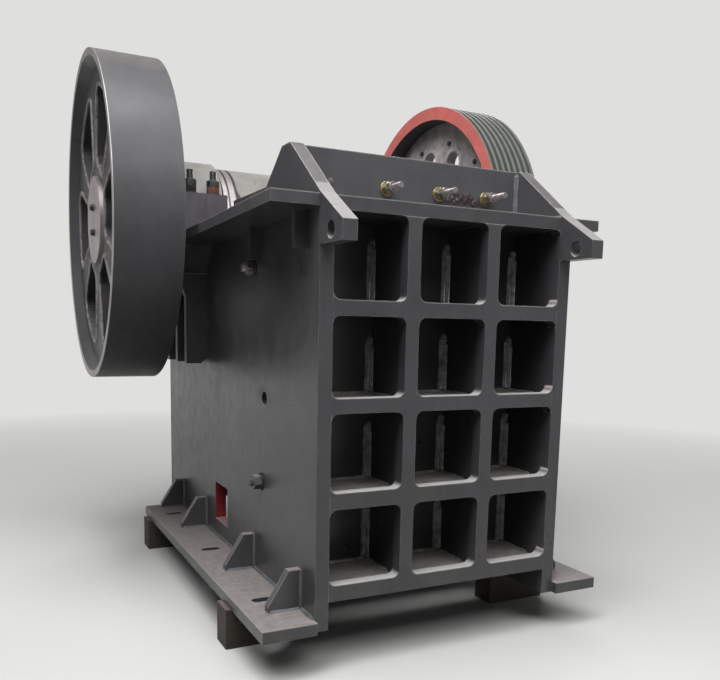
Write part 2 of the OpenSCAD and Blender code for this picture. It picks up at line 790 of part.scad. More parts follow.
// Two wedges, one over the other, between the toggle seat and the rear wall
module adjusting_wedge() {
    y0 = toggle_rear[0] - seat_lap + seat_d;
    low = shelf_z + shelf_t;
    color(primer) placed() across(-seat_half, 2 * seat_half) polygon([
        [y0, low], [y0, low + seat_block_h], [rear_wall_y, low + seat_block_h], [rear_wall_y, low]
    ]);
}

module toggle_plate() {
    run = toggle_rear - toggle_front;
    angle = atan2(run[1], run[0]);
    color(primer) placed() {
        bar_x(-toggle_half, toggle_half, toggle_r, toggle_front);
        bar_x(-toggle_half, toggle_half, toggle_r, toggle_rear);
        translate([0, toggle_front[0], toggle_front[1]]) rotate([angle, 0, 0])
            translate([-toggle_half, 0, -toggle_t / 2]) cube([2 * toggle_half, norm(run), toggle_t]);
    }
}

// Rod with its front eye and cross pin, and its rear washer and nut
module tension_rod() {
    washer_t = 18;
    nut_t = 40;
    color(machined) placed() union() {
        bar_y(rod_pin_y, rod_end_y, rod_r, [0, rod_z]);
        bar_x(-lug_in + 10, lug_in - 10, rod_eye_r, [rod_pin_y, rod_z]);
        bar_x(-lug_in - lug_t - 10, lug_in + lug_t + 10, rod_pin_r, [rod_pin_y, rod_z]);
        bar_y(nut_y, nut_y + washer_t, spring_seat_r, [0, rod_z]);
        translate([0, nut_y + washer_t, rod_z]) rotate([-90, 0, 0]) cylinder(r = 42, h = nut_t, $fn = 6);
    }
}

// Helix of the spring about its own +Z, as rings of points
function coil_point(a, t) = [
    (spring_r + spring_wire_r * cos(t)) * cos(a),
    (spring_r + spring_wire_r * cos(t)) * sin(a),
    spring_wire_r + (spring_len - 2 * spring_wire_r) * a / (360 * spring_turns) + spring_wire_r * sin(t)
];

module coil() {
    sides = 8;
    rings = spring_turns * 14;
    points = [for (i = [0:rings], k = [0:sides - 1])
        coil_point(i * 360 * spring_turns / rings, k * 360 / sides)];
    polyhedron(points, [
        [for (k = [sides - 1:-1:0]) k],
        for (i = [0:rings - 1], k = [0:sides - 1]) let(n = (k + 1) % sides)
            each [[i * sides + k, i * sides + n, (i + 1) * sides + n],
                  [i * sides + k, (i + 1) * sides + n, (i + 1) * sides + k]],
        [for (k = [0:sides - 1]) rings * sides + k]
    ]);
}

module tension_spring() {
    color(machined) placed() {
        translate([0, spring_low_y + seat_gap, rod_z]) rotate([-90, 0, 0]) coil();
        difference() {
            bar_y(spring_low_y - spring_seat_t, spring_low_y, spring_seat_r, [0, rod_z]);
            bar_y(spring_low_y - spring_seat_t - 1, spring_low_y + 1, rod_r + 1, [0, rod_z]);
        }
    }
}

// A loose block under the frame's edge
module block(side, y) {
    out = outer_x + base_w + 20;
    x0 = side < 0 ? -out : out - block_w;
    span([x0, y - block_d / 2, 0], [x0 + block_w, y + block_d / 2, block_h]);
}

module block_front_left() { color(timber) placed() block(-1, block_front_y); }
module block_front_right() { color(timber) placed() block(1, block_front_y); }
module block_rear_left() { color(timber) placed() block(-1, side_len - block_rear_in); }
module block_rear_right() { color(timber) placed() block(1, side_len - block_rear_in); }

side_plate_left();
side_plate_right();
front_wall();
front_grid();
front_ribs_upright();
front_ribs_level();
top_collar();
top_flange_left();
top_flange_right();
base_flange_left();
base_flange_right();
base_gussets_left();
base_gussets_right();
bearing_base_left();
bearing_base_right();
bearing_cap_left();
bearing_cap_right();
bearing_ribs_left();
bearing_ribs_right();
fixed_jaw_plate();
cheek_plate_left();
cheek_plate_right();
rear_wall();
rear_ribs_upright();
rear_ribs_level();
toggle_shelf();
toggle_seat();
adjusting_wedge();
toggle_plate();
tension_rod();
tension_spring();
block_front_left();
block_front_right();
block_rear_left();
block_rear_right();
eccentric_shaft();
flywheel();
drive_pulley();
hub_cover_left();
hub_cover_right();
pitman();
pitman_ribs();
moving_jaw_plate();
barrel_rings();
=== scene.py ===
"""Looks of the jaw crusher: paint, welds, bolts, wear and studio, around the fixed frame."""

import json
import math
import random

import bpy
from mathutils import Matrix, Vector


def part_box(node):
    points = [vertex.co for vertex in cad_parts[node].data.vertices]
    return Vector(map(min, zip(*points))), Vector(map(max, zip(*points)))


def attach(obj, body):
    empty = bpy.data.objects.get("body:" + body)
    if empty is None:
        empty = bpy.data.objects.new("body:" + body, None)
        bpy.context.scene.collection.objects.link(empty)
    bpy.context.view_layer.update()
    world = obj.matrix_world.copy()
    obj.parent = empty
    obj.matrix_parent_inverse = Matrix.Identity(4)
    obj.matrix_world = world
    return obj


bl_info = {
    "name": "Jaw crusher looks",
    "version": (1, 0, 0),
    "blender": (4, 5, 0),
    "location": "View3D > Sidebar > Crusher",
    "description": "Dresses a welded jaw crusher with paint, welds, bolts and wear",
    "category": "Object",
}

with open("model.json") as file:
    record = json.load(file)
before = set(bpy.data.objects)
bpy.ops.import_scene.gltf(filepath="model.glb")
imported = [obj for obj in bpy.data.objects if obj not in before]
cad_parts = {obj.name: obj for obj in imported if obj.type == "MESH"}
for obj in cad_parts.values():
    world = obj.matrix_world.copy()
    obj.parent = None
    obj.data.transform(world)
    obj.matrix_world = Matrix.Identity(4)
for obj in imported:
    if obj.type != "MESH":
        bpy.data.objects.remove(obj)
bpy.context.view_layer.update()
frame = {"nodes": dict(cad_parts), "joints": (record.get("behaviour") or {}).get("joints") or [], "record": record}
SHAFT = Vector(next(j["pos_m"] for j in frame["joints"] if j["name"] == "shaft_spin"))
X, Y, Z = Vector((1, 0, 0)), Vector((0, 1, 0)), Vector((0, 0, 1))


def low(node):
    """Lowest corner of a piece of the frame."""
    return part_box(node)[0]


def high(node):
    """Highest corner of a piece of the frame."""
    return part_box(node)[1]


def off_shaft(point):
    """Distance of a point from the shaft's axis."""
    return math.hypot(point.y - SHAFT.y, point.z - SHAFT.z)


def rim(node):
    """Left end, right end and radius of a wheel's rim."""
    points = [v.co for v in frame["nodes"][node].data.vertices]
    radius = max(off_shaft(p) for p in points)
    ends = [p.x for p in points if off_shaft(p) > 0.93 * radius]
    return min(ends), max(ends), radius


FLYWHEEL_RIM = rim("flywheel")
PULLEY_RIM = rim("drive_pulley")
FACE = low("front_grid").y
INNER, OUTER = low("side_plate_right").x, high("side_plate_right").x

# Places that the frame's boxes don't give, in metres and degrees. Z counts from the floor, Y from the grid's face.
WINDOW_Y, WINDOW_Z = (1.070, 1.285), (0.285, 0.485)
WALL_NUTS_X, PLUG_X, WALL_NUTS_OVER_COLLAR = (-0.136, 0.107, 0.340), -0.378, 0.094
UPPER_SIDE_BOLT_YZ, LOWER_SIDE_BOLT_YZ = (0.690, 1.513), (0.588, 0.615)
CAP_BOLTS_X, CAP_BOLT_INSET, CAP_LUG_OVER_SHAFT = (0.557, 0.670), 0.0365, 0.120
WEB_BEHIND_RIM, WEB_BOLTS, WEB_BOLT_TURN = 0.100, 12, 13.75


def tone(name, text, value):
    """A setting for a colour, as linear values."""
    return bpy.props.FloatVectorProperty(
        name=name, description=text, default=value, size=3, min=0, max=1, subtype="COLOR")


def number(name, text, value, **limits):
    """A setting for a number. limits are its least and most, and its unit or subtype."""
    return bpy.props.FloatProperty(name=name, description=text, default=value, **limits)


def span(name, text, value, least, most):
    """A setting for a length, in metres."""
    return number(name, text, value, min=least, max=most, unit="LENGTH")


def angle(name, text, degrees):
    """A setting for an angle."""
    return number(name, text, math.radians(degrees), subtype="ANGLE")


def watts(name, text, value):
    """A setting for a lamp's power."""
    return number(name, text, value, min=0, max=2000, unit="POWER")


class CrusherPaint(bpy.types.PropertyGroup):
    """Colours of the finishes."""

    charcoal: tone("Charcoal paint", "Shop paint on the frame and the wheels", (0.055, 0.055, 0.060))
    coral: tone("Coral paint", "Band on the pulley's rim", (0.54, 0.135, 0.118))
    primer: tone("Red primer", "Primer inside the rear of the frame", (0.22, 0.014, 0.022))
    steel: tone("Machined steel", "Bare turned and milled steel", (0.42, 0.385, 0.38))
    casting: tone("Grey casting", "Pale filler paint on the bearing castings", (0.180, 0.178, 0.164))
    zinc: tone("Zinc plating", "Yellow-silver nuts and washers", (0.28, 0.24, 0.13))
    manganese: tone("Jaw steel", "Cast jaw and cheek plates", (0.065, 0.058, 0.052))
    block: tone("Support blocks", "Dirty blocks under the frame", (0.038, 0.030, 0.023))
    # The dust colour also tints the painted highlights and the painted light on the frame's plates.
    dust: tone("Dust", "Pale workshop dust on faces that look up", (0.25, 0.225, 0.215))


class CrusherWork(bpy.types.PropertyGroup):
    """Sizes of the welds and of the fasteners."""

    bead: span("Weld leg", "Leg of an ordinary weld bead", 0.011, 0.004, 0.03)
    heavy_bead: span("Heavy weld leg", "Leg of one run of the beads in the front pockets", 0.019, 0.01, 0.04)
    ripple: span("Weld ripple", "Distance between the ripples of a bead", 0.009, 0.003, 0.02)
    wall_nut: span("Front wall nut", "Width across the flats of the front wall's nuts", 0.043, 0.03, 0.09)
    side_nut: span("Side nut", "Width across the flats of the cheek plates' nuts", 0.056, 0.03, 0.09)
    cap_nut: span("Cap nut", "Width across the flats of the bearing caps' nuts", 0.054, 0.03, 0.09)


class CrusherWheels(bpy.types.PropertyGroup):
    """Sizes that the cast edges and the bolts of the wheels follow."""

    window_inner: span("Window inner radius", "Distance of a flywheel window's inner edge from the shaft",
                       0.270, 0.2, 0.4)
    window_outer: span("Window outer radius", "Distance of a flywheel window's outer edge from the shaft",
                       0.620, 0.5, 0.7)
    edge_bead: span("Cast edge", "Width of the raised edge round a flywheel window", 0.020, 0.01, 0.04)
    web_bolts: span("Web bolt circle", "Radius of the bolt circle on the pulley's web", 0.590, 0.5, 0.65)
    cover_bolts: span("Hub bolt distance", "Distance of the hub cover's two bolts from the shaft's axis",
                      0.060, 0.03, 0.15)


class CrusherStudio(bpy.types.PropertyGroup):
    """Camera and light."""

    place: bpy.props.FloatVectorProperty(
        name="Camera place", description="Place of the camera in the frame",
        default=(-1.638, -3.6168, 1.295), size=3, subtype="TRANSLATION", unit="LENGTH")
    yaw: angle("Yaw", "Turn of the camera to the right of +Y", 26.7785)
    pitch: angle("Pitch", "Tilt of the camera below the level", 7.902)
    roll: angle("Roll", "Lean of the camera about its own axis", 1.2368)
    lens: number("Lens", "Focal length on a 36 mm wide film", 38.584, min=20, max=100, subtype="DISTANCE_CAMERA")
    shift: number("Shift", "Upward shift of the frame, as a share of its width", 0.1244, min=-0.3, max=0.3)
    floor: tone("Floor", "Colour of the floor round the machine", (0.54, 0.54, 0.53))
    backdrop: tone("Backdrop", "Colour of the backdrop, and of the floor where it runs into it", (0.74, 0.74, 0.73))
    near: span("Near floor", "Distance at which the floor starts to fade into the backdrop", 2.4, 1, 10)
    far: span("Far floor", "Distance at which the floor has the backdrop's colour", 7.5, 2, 30)
    floor_bounce: tone("Floor bounce", "Colour of the floor for the light that it throws back up",
                       (0.10, 0.098, 0.095))
    key: watts("Key light", "Power of the large lamp in front", 165)
    side: watts("Side light", "Power of the lamp at the left", 25)
    top: watts("Top light", "Power of the soft box overhead", 560)
    back: watts("Back light", "Power of the lamp behind the machine", 150)
    sky: number("Room light", "Strength of the even light of the room", 0.12, min=0, max=2)


def studio():
    return bpy.context.scene.crusher_studio


def paint():
    return bpy.context.scene.crusher_paint


def work():
    return bpy.context.scene.crusher_work


def wheels():
    return bpy.context.scene.crusher_wheels


class Graph:
    """Short names for the shader nodes of one material or world."""

    def __init__(self, owner, coordinates="Object"):
        owner.use_nodes = True
        self.owner, self.tree = owner, owner.node_tree
        self.shader = self.tree.nodes.get("Principled BSDF")
        self.where = self.node("ShaderNodeTexCoord").outputs[coordinates]

    def node(self, kind, inputs=None, **settings):
        """Adds a node with its inputs and settings."""
        made = self.tree.nodes.new(kind)
        for key, value in settings.items():
            setattr(made, key, value)
        for key, value in (inputs or {}).items():
            self.plug(made.inputs[key], value)
        return made

    def plug(self, socket, value):
        """Links a socket to another node's output, or sets its value. Colours come as three values."""
        if isinstance(value, bpy.types.NodeSocket):
            self.tree.links.new(value, socket)
        else:
            socket.default_value = (*value, 1) if socket.type == "RGBA" else value

    def noise(self, scale, detail=4, rough=0.55, stretch=None, distortion=0.0):
        """Noise in the frame's own space. stretch scales that space along X, Y and Z."""
        where = self.where
        if stretch:
            where = self.node("ShaderNodeMapping", {"Vector": where, "Scale": stretch}).outputs["Vector"]
        inputs = {"Vector": where, "Scale": scale, "Detail": detail, "Roughness": rough, "Distortion": distortion}
        return self.node("ShaderNodeTexNoise", inputs).outputs["Fac"]

    def cells(self, scale):
        return self.node("ShaderNodeTexVoronoi", {"Vector": self.where, "Scale": scale}).outputs["Distance"]

    def between(self, value, a, b, to_a=0.0, to_b=1.0):
        """Maps a..b to to_a..to_b, clamped."""
        ends = {"From Min": a, "From Max": b, "To Min": to_a, "To Max": to_b}
        return self.node("ShaderNodeMapRange", {"Value": value, **ends}).outputs["Result"]

    def band(self, value, start, stop, soft):
        """1 from start to stop and 0 outside, with soft ends inside the band."""
        return self.times(self.between(value, start, start + soft), self.between(value, stop, stop - soft))

    def sum(self, a, b, operation="ADD", clamp=False):
        return self.node("ShaderNodeMath", {0: a, 1: b}, operation=operation, use_clamp=clamp).outputs["Value"]

    def times(self, a, b):
        return self.sum(a, b, "MULTIPLY")

    def mix(self, share, a, b):
        return self.node("ShaderNodeMix", {"Factor": share, "A": a, "B": b}, data_type="RGBA").outputs["Result"]

    def patches(self, noise, one, other, start=0.3, stop=0.7):
        """Two colours in soft patches of a noise."""
        return self.mix(self.between(noise, start, stop), one, other)

    def shades(self, noise, colour, dark, light, start=0.3, stop=0.7):
        """A darker and a lighter shade of one colour, in soft patches."""
        return self.patches(noise, tint(colour, dark), tint(colour, light), start, stop)

    def stain(self, base, noise, start, stop, most, colour):
        """Lays a colour over the base where a noise is high."""
        return self.mix(self.between(noise, start, stop, 0, most), base, colour)

    def vector(self, operation, a, b=None):
        made = self.node("ShaderNodeVectorMath", {0: a} if b is None else {0: a, 1: b}, operation=operation)
        return made.outputs["Value" if operation in ("LENGTH", "DOT_PRODUCT") else "Vector"]

    def split(self, vector):
        return self.node("ShaderNodeSeparateXYZ", {"Vector": vector}).outputs

    def place(self):
        return self.split(self.where)

    def across(self):
        """Distance from the middle plane."""
        return self.sum(self.place()["X"], 0, "ABSOLUTE")

    def facing(self):
        """The surface's normal, as X, Y and Z."""
        return self.split(self.node("ShaderNodeNewGeometry").outputs["Normal"])

    def from_shaft(self):
        """Distance from the shaft's axis."""
        off = self.vector("SUBTRACT", self.where, SHAFT)
        return self.vector("LENGTH", self.vector("MULTIPLY", off, (0, 1, 1)))

    def edge(self, radius, upward=False):
        """About 1 on sharp edges and 0 on flats. With upward, only edges that turn up count."""
        bevelled = self.node("ShaderNodeBevel", {"Radius": radius}, samples=4).outputs["Normal"]
        flat = self.node("ShaderNodeNewGeometry").outputs["Normal"]
        sharp = self.between(self.vector("DOT_PRODUCT", bevelled, flat), 0.99, 0.8)
        if not upward:
            return sharp
        return self.times(sharp, self.between(self.split(bevelled)["Z"], 0.22, 0.5))

    def rub(self, base, radius, noise, start, most, colour):
        """Rubs the paint off sharp edges where a noise is high."""
        return self.mix(self.times(self.edge(radius), self.between(noise, start, 0.6, 0, most)), base, colour)

    def spot(self, centre, reach, ragged, scale=14):
        """About 1 in a ragged patch round a point. reach gives its half sizes along X, Y and Z."""
        off = self.vector("SUBTRACT", self.where, centre)
        near = self.vector("LENGTH", self.vector("DIVIDE", off, reach))
        frayed = self.sum(near, self.times(self.noise(scale, 6, 0.65), ragged))
        return self.between(frayed, 1.0 + ragged * 0.5, 0.45 + ragged * 0.5)

    def bump(self, height, strength, distance, after=None):
        inputs = {"Height": height, "Strength": strength, "Distance": distance}
        if after is not None:
            inputs["Normal"] = after
        return self.node("ShaderNodeBump", inputs).outputs["Normal"]

    def settled(self, most, fine=34):
        """Share of dust on what looks up."""
        return self.times(self.between(self.facing()["Z"], 0.70, 0.98),
                          self.between(self.noise(fine, 6, 0.7), 0.3, 0.62, 0.45 * most, most))

    def dust(self, base, most, fine=34, shade=1.0):
        """Lays pale dust on what looks up."""
        return self.mix(self.settled(most, fine), base, tint(paint().dust, shade))

    def sheen(self, scale, least, most, detail=4):
        """A roughness that wanders between two values."""
        return self.between(self.noise(scale, detail), 0.3, 0.7, least, most)

    def finish(self, colour, rough, normal=None, metal=0.0, specular=None):
        """Sets the surface of a material."""
        inputs = {"Base Color": colour, "Roughness": rough, "Metallic": metal, "Specular IOR Level": specular,
                  "Normal": normal}
        for key, value in inputs.items():
            if value is not None:
                self.plug(self.shader.inputs[key], value)

    def blend(self, share, one, other, output):
        """Mixes two shaders into the tree's output."""
        made = self.node("ShaderNodeMixShader", {0: share, 1: one, 2: other})
        self.plug(self.tree.nodes[output].inputs["Surface"], made.outputs["Shader"])


def tint(colour, share):
    """A colour made lighter or darker."""
    return tuple(min(1.0, c * share) for c in colour)


def mottled(g, colour):
    """Shop paint with broad blotches, fine mottling and faint runs."""
    base = g.shades(g.noise(1.7, 3, 0.6), colour, 0.80, 1.18, 0.3, 0.72)
    base = g.stain(base, g.noise(14, 5, 0.6), 0.35, 0.7, 0.45, tint(colour, 1.32))
    return g.stain(base, g.noise(9, 4, 0.55, (3.2, 3.2, 0.22)), 0.56, 0.74, 0.4, tint(colour, 0.62))


def frame_marks(g, base):
    """Marks of use on the frame: a black smear, pale spatter and an oily patch by the front nuts."""
    by_hole, by_bolt, by_nuts = (-OUTER, -0.60, 0.985), (-OUTER, -0.44, 1.497), (0.225, low("front_wall").y, 1.797)
    smear = g.spot(by_hole, (0.03, 0.16, 0.055), 0.5)
    base = g.mix(g.times(smear, 0.85), base, (0.010, 0.010, 0.011))
    spatter = g.times(g.spot(by_bolt, (0.03, 0.17, 0.05), 0.6), g.between(g.cells(62), 0.34, 0.26))
    base = g.mix(g.times(spatter, 0.8), base, (0.36, 0.36, 0.40))
    oil = g.spot(by_nuts, (0.17, 0.03, 0.045), 0.7, 22)
    return g.mix(g.times(oil, 0.75), base, (0.028, 0.016, 0.022))


def window_primer(g, base):
    """Red primer on the frame's inside behind the front wall, and on the edges of the side windows."""
    place, across = g.place(), g.across()
    chamber = g.band(place["Y"], high("front_wall").y + 0.001, low("rear_wall").y, 0.002)
    inside = g.times(g.between(across, INNER + 0.002, INNER + 0.001), chamber)
    front, rear = (FACE + y for y in WINDOW_Y)
    window = g.times(g.band(place["Y"], front, rear, 0.005), g.band(place["Z"], *WINDOW_Z, 0.004))
    edge = g.times(window, g.between(across, OUTER - 0.001, OUTER - 0.002))
    red = g.shades(g.noise(8, 6, 0.65), paint().primer, 0.65, 1.3, 0.35)
    return g.mix(g.sum(inside, edge, clamp=True), base, red)


def pocket_painted_shade(g):
    """1 inside the front pockets, where painted shade darkens the paint."""
    place = g.place()
    face, back, top = high("front_grid").y, low("front_wall").y, low("top_collar").z
    deep = g.times(g.between(place["Y"], face, face + 0.12), g.between(place["Y"], back + 0.004, back + 0.002))
    sides = g.between(g.across(), INNER + 0.002, INNER + 0.001)
    return g.times(deep, g.times(sides, g.between(place["Z"], top + 0.002, top)))


def charcoal_plate(g):
    """Satin shop paint on rolled plate: blotches, runs, scuffs, bare edges, dust above and marks of use, with painted
    shade inside the pockets, painted light on the lower plates and painted highlights on upward edges and the grid's
    lips.
    """
    charcoal, dust, place = paint().charcoal, paint().dust, g.place()
    painted_light_band, top_edges, grid_back = (0.62, 0.16), (1.5, 1.55), high("front_grid").y
    scuff = g.noise(5, 8, 0.7, (0.6, 1.2, 7), 0.6)
    base = g.stain(mottled(g, charcoal), scuff, 0.66, 0.74, 0.22, tint(charcoal, 2.2))
    base = window_primer(g, frame_marks(g, base))
    # Painted shade: the insides of the front pockets darkened most of the way to black.
    base = g.mix(g.times(pocket_painted_shade(g), 0.5), base, (0.010, 0.010, 0.012))
    # Painted light: the plates paler towards the floor, in patches of a dull dust colour.
    foot = g.times(g.between(place["Z"], *painted_light_band), g.between(g.noise(6, 7, 0.7), 0.42, 0.7))
    base = g.mix(g.times(foot, 0.3), base, tint(dust, 0.6))
    base = g.rub(base, 0.004, g.noise(24, 6, 0.7), 0.44, 0.75, tint(paint().steel, 0.8))
    # Painted highlight: pale colour on edges that turn up, where the top light catches them.
    base = g.mix(g.edge(0.008, True), base, tint(dust, 1.9))
    lie = g.settled(0.92)
    base = g.mix(lie, base, dust)
    # Pale lips on the grid's window edges: partly dust and wear, partly a painted highlight of the top light on them.
    on_grid = g.between(place["Y"], grid_back + 0.004, grid_back - 0.002)
    lip_wear_and_highlight = g.times(on_grid, g.between(g.facing()["Z"], 0.35, 0.75))
    in_pockets = g.between(g.across(), INNER, INNER - 0.001, 0, 0.85)
    worn_and_lit = g.sum(in_pockets, g.between(place["Z"], *top_edges, 0, 0.35), "MAXIMUM")
    base = g.mix(g.times(lip_wear_and_highlight, worn_and_lit), base, (0.44, 0.435, 0.43))
    rough = g.sum(g.between(g.noise(14, 5, 0.6), 0.3, 0.7, 0.27, 0.40), g.times(lie, 0.4), clamp=True)
    peel = g.bump(g.noise(160, 3, 0.5), 0.12, 0.0008)
    wave = g.bump(g.noise(2.6, 2, 0.5), 0.18, 0.02, peel)
    g.finish(base, rough, g.bump(scuff, 0.05, 0.002, wave))


def red_primer(g):
    """Dull red primer with overspray and oily stains, and shop paint on the rear wall's outside."""
    primer = paint().primer
    base = g.shades(g.noise(2.2, 4), primer, 0.6, 1.25)
    base = g.stain(base, g.noise(11, 7, 0.7), 0.5, 0.72, 0.55, tint(primer, 0.35))
    back = high("rear_wall").y
    base = g.mix(g.between(g.place()["Y"], back - 0.002, back - 0.001), base, mottled(g, paint().charcoal))
    base = g.dust(base, 0.5, 30, 0.8)
    g.finish(base, g.sheen(20, 0.5, 0.75), g.bump(g.noise(120, 3), 0.15, 0.001))


def machined_steel(g):
    """Machined steel with fine tool rings about the shaft, oil film and light rust spots."""
    steel = paint().steel
    rings = g.noise(240, 2, 0.5, (1, 0.02, 0.02))
    base = g.stain(g.shades(g.noise(5, 4), steel, 0.78, 1.08), rings, 0.4, 0.6, 0.25, tint(steel, 0.7))
    spots = g.times(g.between(g.noise(26, 7, 0.75), 0.6, 0.7), 0.6)
    base = g.dust(g.mix(spots, base, (0.13, 0.065, 0.035)), 0.35, 40)
    g.finish(base, g.sheen(7, 0.30, 0.5, 5), g.bump(rings, 0.12, 0.0006), metal=0.75)


def grey_casting(g):
    """Sand castings: pale filler above the bearing lugs and on the barrel; the bearing's foot is darker below the
    lugs' top.
    """
    base = g.shades(g.noise(3, 4), paint().casting, 0.8, 1.12)
    stain = g.noise(8, 7, 0.68, (1.4, 1.4, 0.5))
    base = g.stain(base, stain, 0.52, 0.72, 0.6, (0.085, 0.075, 0.066))
    lug = SHAFT.z + CAP_LUG_OVER_SHAFT - 0.001
    foot = g.times(g.between(g.place()["Z"], lug + 0.002, lug), g.between(g.across(), INNER - 0.010, INNER - 0.006))
    base = g.mix(foot, base, g.patches(stain, (0.045, 0.040, 0.050), (0.085, 0.080, 0.090), 0.4))
    base = g.rub(base, 0.005, g.noise(30, 5), 0.42, 0.7, (0.06, 0.052, 0.045))
    skin = g.bump(g.cells(190), 0.2, 0.001)
    g.finish(g.dust(base, 0.4), g.sheen(16, 0.42, 0.62), g.bump(g.noise(22, 5), 0.15, 0.003, skin))


def wheel_base(g):
    """What both wheels share: mottled paint with rolling marks about the shaft."""
    shade = tint(paint().charcoal, 0.95)
    base = g.shades(g.noise(2.2, 4, 0.6), shade, 0.8, 1.2)
    base = g.stain(base, g.noise(18, 6, 0.65), 0.45, 0.7, 0.45, tint(shade, 1.45))
    return g.stain(base, g.noise(7, 6, 0.7, (9, 0.8, 0.8)), 0.6, 0.72, 0.3, tint(shade, 2.1))


def wheel_end(g, base, metal):
    """Bare edges, dust and the skin of a wheel's material, with tool rings about the shaft."""
    base = g.rub(base, 0.004, g.noise(28, 6, 0.7), 0.4, 0.7, tint(paint().steel, 0.7))
    rings = g.noise(300, 2, 0.5, (1, 0.01, 0.01))
    skin = g.bump(g.noise(120, 3), 0.1, 0.0008)
    g.finish(g.dust(base, 0.45), g.sheen(9, 0.36, 0.52, 5), g.bump(rings, 0.06, 0.0005, skin), metal, 0.3)


def flywheel_paint(g):
    """The plain wheel: charcoal, with painted shade that darkens the web inside the rim, and a bare turned face on
    the rim's outer end.
    """
    left, _, radius = FLYWHEEL_RIM
    turned_face, rim_wall, hub = 0.034, 0.085, 0.245
    away = g.from_shaft()
    depth = g.sum(radius, away, "SUBTRACT")
    face = g.times(g.between(depth, turned_face, turned_face - 0.003),
                   g.between(g.place()["X"], left + 0.004, left + 0.002))
    base = g.mix(face, wheel_base(g), g.shades(g.noise(11, 6, 0.7), paint().steel, 0.72, 1.05, 0.35))
    # Painted shade: the web inside the rim darkened most of the way to black.
    web = g.times(g.between(depth, rim_wall, rim_wall + 0.010), g.between(away, hub, hub + 0.010))
    wheel_end(g, g.mix(g.times(web, 0.55), base, (0.012, 0.012, 0.013)), g.times(face, 0.5))


def pulley_paint(g):
    """The grooved wheel: coral ring on the inner end, worn grooves with bright ridges and a grey web."""
    left, right, radius = PULLEY_RIM
    rim_wall, grooves, ridges = 0.070, 0.030, 0.0035
    depth, along = g.sum(radius, g.from_shaft(), "SUBTRACT"), g.place()["X"]
    web = g.times(g.between(depth, rim_wall, rim_wall + 0.005), g.between(g.noise(9, 7, 0.72), 0.34, 0.62, 0.35, 1.0))
    base = g.mix(web, wheel_base(g), (0.46, 0.42, 0.425))
    ring = g.times(g.between(depth, rim_wall, rim_wall - 0.002), g.between(along, left + 0.0012, left + 0.0006))
    base = g.mix(ring, base, g.shades(g.noise(12, 6, 0.7), paint().coral, 0.82, 1.1, 0.35))
    width = g.times(g.between(along, left + 0.0012, left + 0.002), g.between(along, right - 0.001, right - 0.002))
    tread = g.times(g.between(depth, grooves, grooves - 0.002), width)
    base = g.mix(tread, base, (0.058, 0.066, 0.058))
    crest = g.times(tread, g.between(depth, ridges, ridges - 0.002))
    ridge = g.times(crest, g.between(g.noise(30, 5, 0.7), 0.3, 0.6, 0.5, 1.0))
    wheel_end(g, g.mix(ridge, base, (0.21, 0.21, 0.20)), g.times(ridge, 0.4))


def jaw_steel(g):
    """Cast manganese plates: sand skin, dull brown scale and a few bright scrapes."""
    base = g.shades(g.noise(4, 5), paint().manganese, 0.6, 1.5)
    base = g.stain(base, g.noise(13, 7, 0.7), 0.5, 0.75, 0.7, (0.10, 0.048, 0.026))
    base = g.stain(base, g.noise(9, 6, 0.7, (5, 1, 0.35)), 0.64, 0.74, 0.5, (0.22, 0.21, 0.20))
    g.finish(base, g.sheen(18, 0.5, 0.8), g.bump(g.cells(140), 0.35, 0.0015), metal=0.25)


def block_stuff(g):
    """Dirty, oil-soaked blocks with long grain and split ends."""
    block = paint().block
    grain = g.noise(30, 6, 0.65, (0.12, 1.6, 1.6), 0.8)
    base = g.shades(grain, block, 0.6, 1.7, 0.35, 0.68)
    base = g.stain(base, g.noise(5, 6, 0.7), 0.48, 0.72, 0.6, tint(block, 0.4))
    split = g.bump(g.between(grain, 0.3, 0.5), 0.5, 0.004)
    g.finish(g.dust(base, 0.6, 30, 0.7), g.between(grain, 0.3, 0.7, 0.6, 0.85), split)


def painted_weld(g):
    """Painted-over weld beads, a little brighter and rougher than the plate."""
    base = g.shades(g.noise(30, 5), paint().charcoal, 1.1, 2.0)
    base = g.stain(base, g.noise(75, 6, 0.7), 0.55, 0.7, 0.5, tint(paint().dust, 0.8))
    g.finish(g.dust(base, 0.7), g.sheen(40, 0.36, 0.6), g.bump(g.noise(260, 4), 0.2, 0.0006))


def bare_weld(g):
    """Unpainted beads deep in the pockets: grey scale with a metal sheen."""
    base = g.patches(g.noise(34, 5), (0.15, 0.15, 0.155), (0.40, 0.395, 0.385))
    base = g.stain(base, g.noise(60, 6, 0.7), 0.58, 0.7, 0.6, (0.05, 0.04, 0.035))
    g.finish(base, g.sheen(40, 0.28, 0.5), g.bump(g.noise(260, 4), 0.2, 0.0006), metal=0.35)


def rubbed_edge(g):
    """Raised cast edges with the paint rubbed off their crowns."""
    base = g.patches(g.noise(16, 6, 0.7), tint(paint().charcoal, 1.2), tint(paint().steel, 0.7), 0.35, 0.6)
    g.finish(base, g.sheen(40, 0.32, 0.5), g.bump(g.noise(200, 3), 0.1, 0.0005), metal=0.3)


def worn_plating(g, plating, dabs):
    """Plated or bare fasteners with dabs of the frame's paint on them."""
    base = g.shades(g.noise(36, 4), plating, 0.7, 1.25, 0.35, 0.65)
    dab = g.between(g.noise(48, 5, 0.6), 0.54, 0.62, 0, dabs)
    base = g.mix(dab, base, tint(paint().charcoal, 1.6))
    metal = g.between(dab, 0.2, 0.8, 0.7, 0.0)
    g.finish(base, g.sheen(60, 0.3, 0.5), g.bump(g.noise(180, 3), 0.1, 0.0005), metal)


def yellow_zinc(g):
    """Yellow-silver plated nuts and washers."""
    worn_plating(g, paint().zinc, 0.8)


def grey_nut(g):
    """Plain steel nuts and studs."""
    worn_plating(g, tint(paint().steel, 0.62), 0.6)


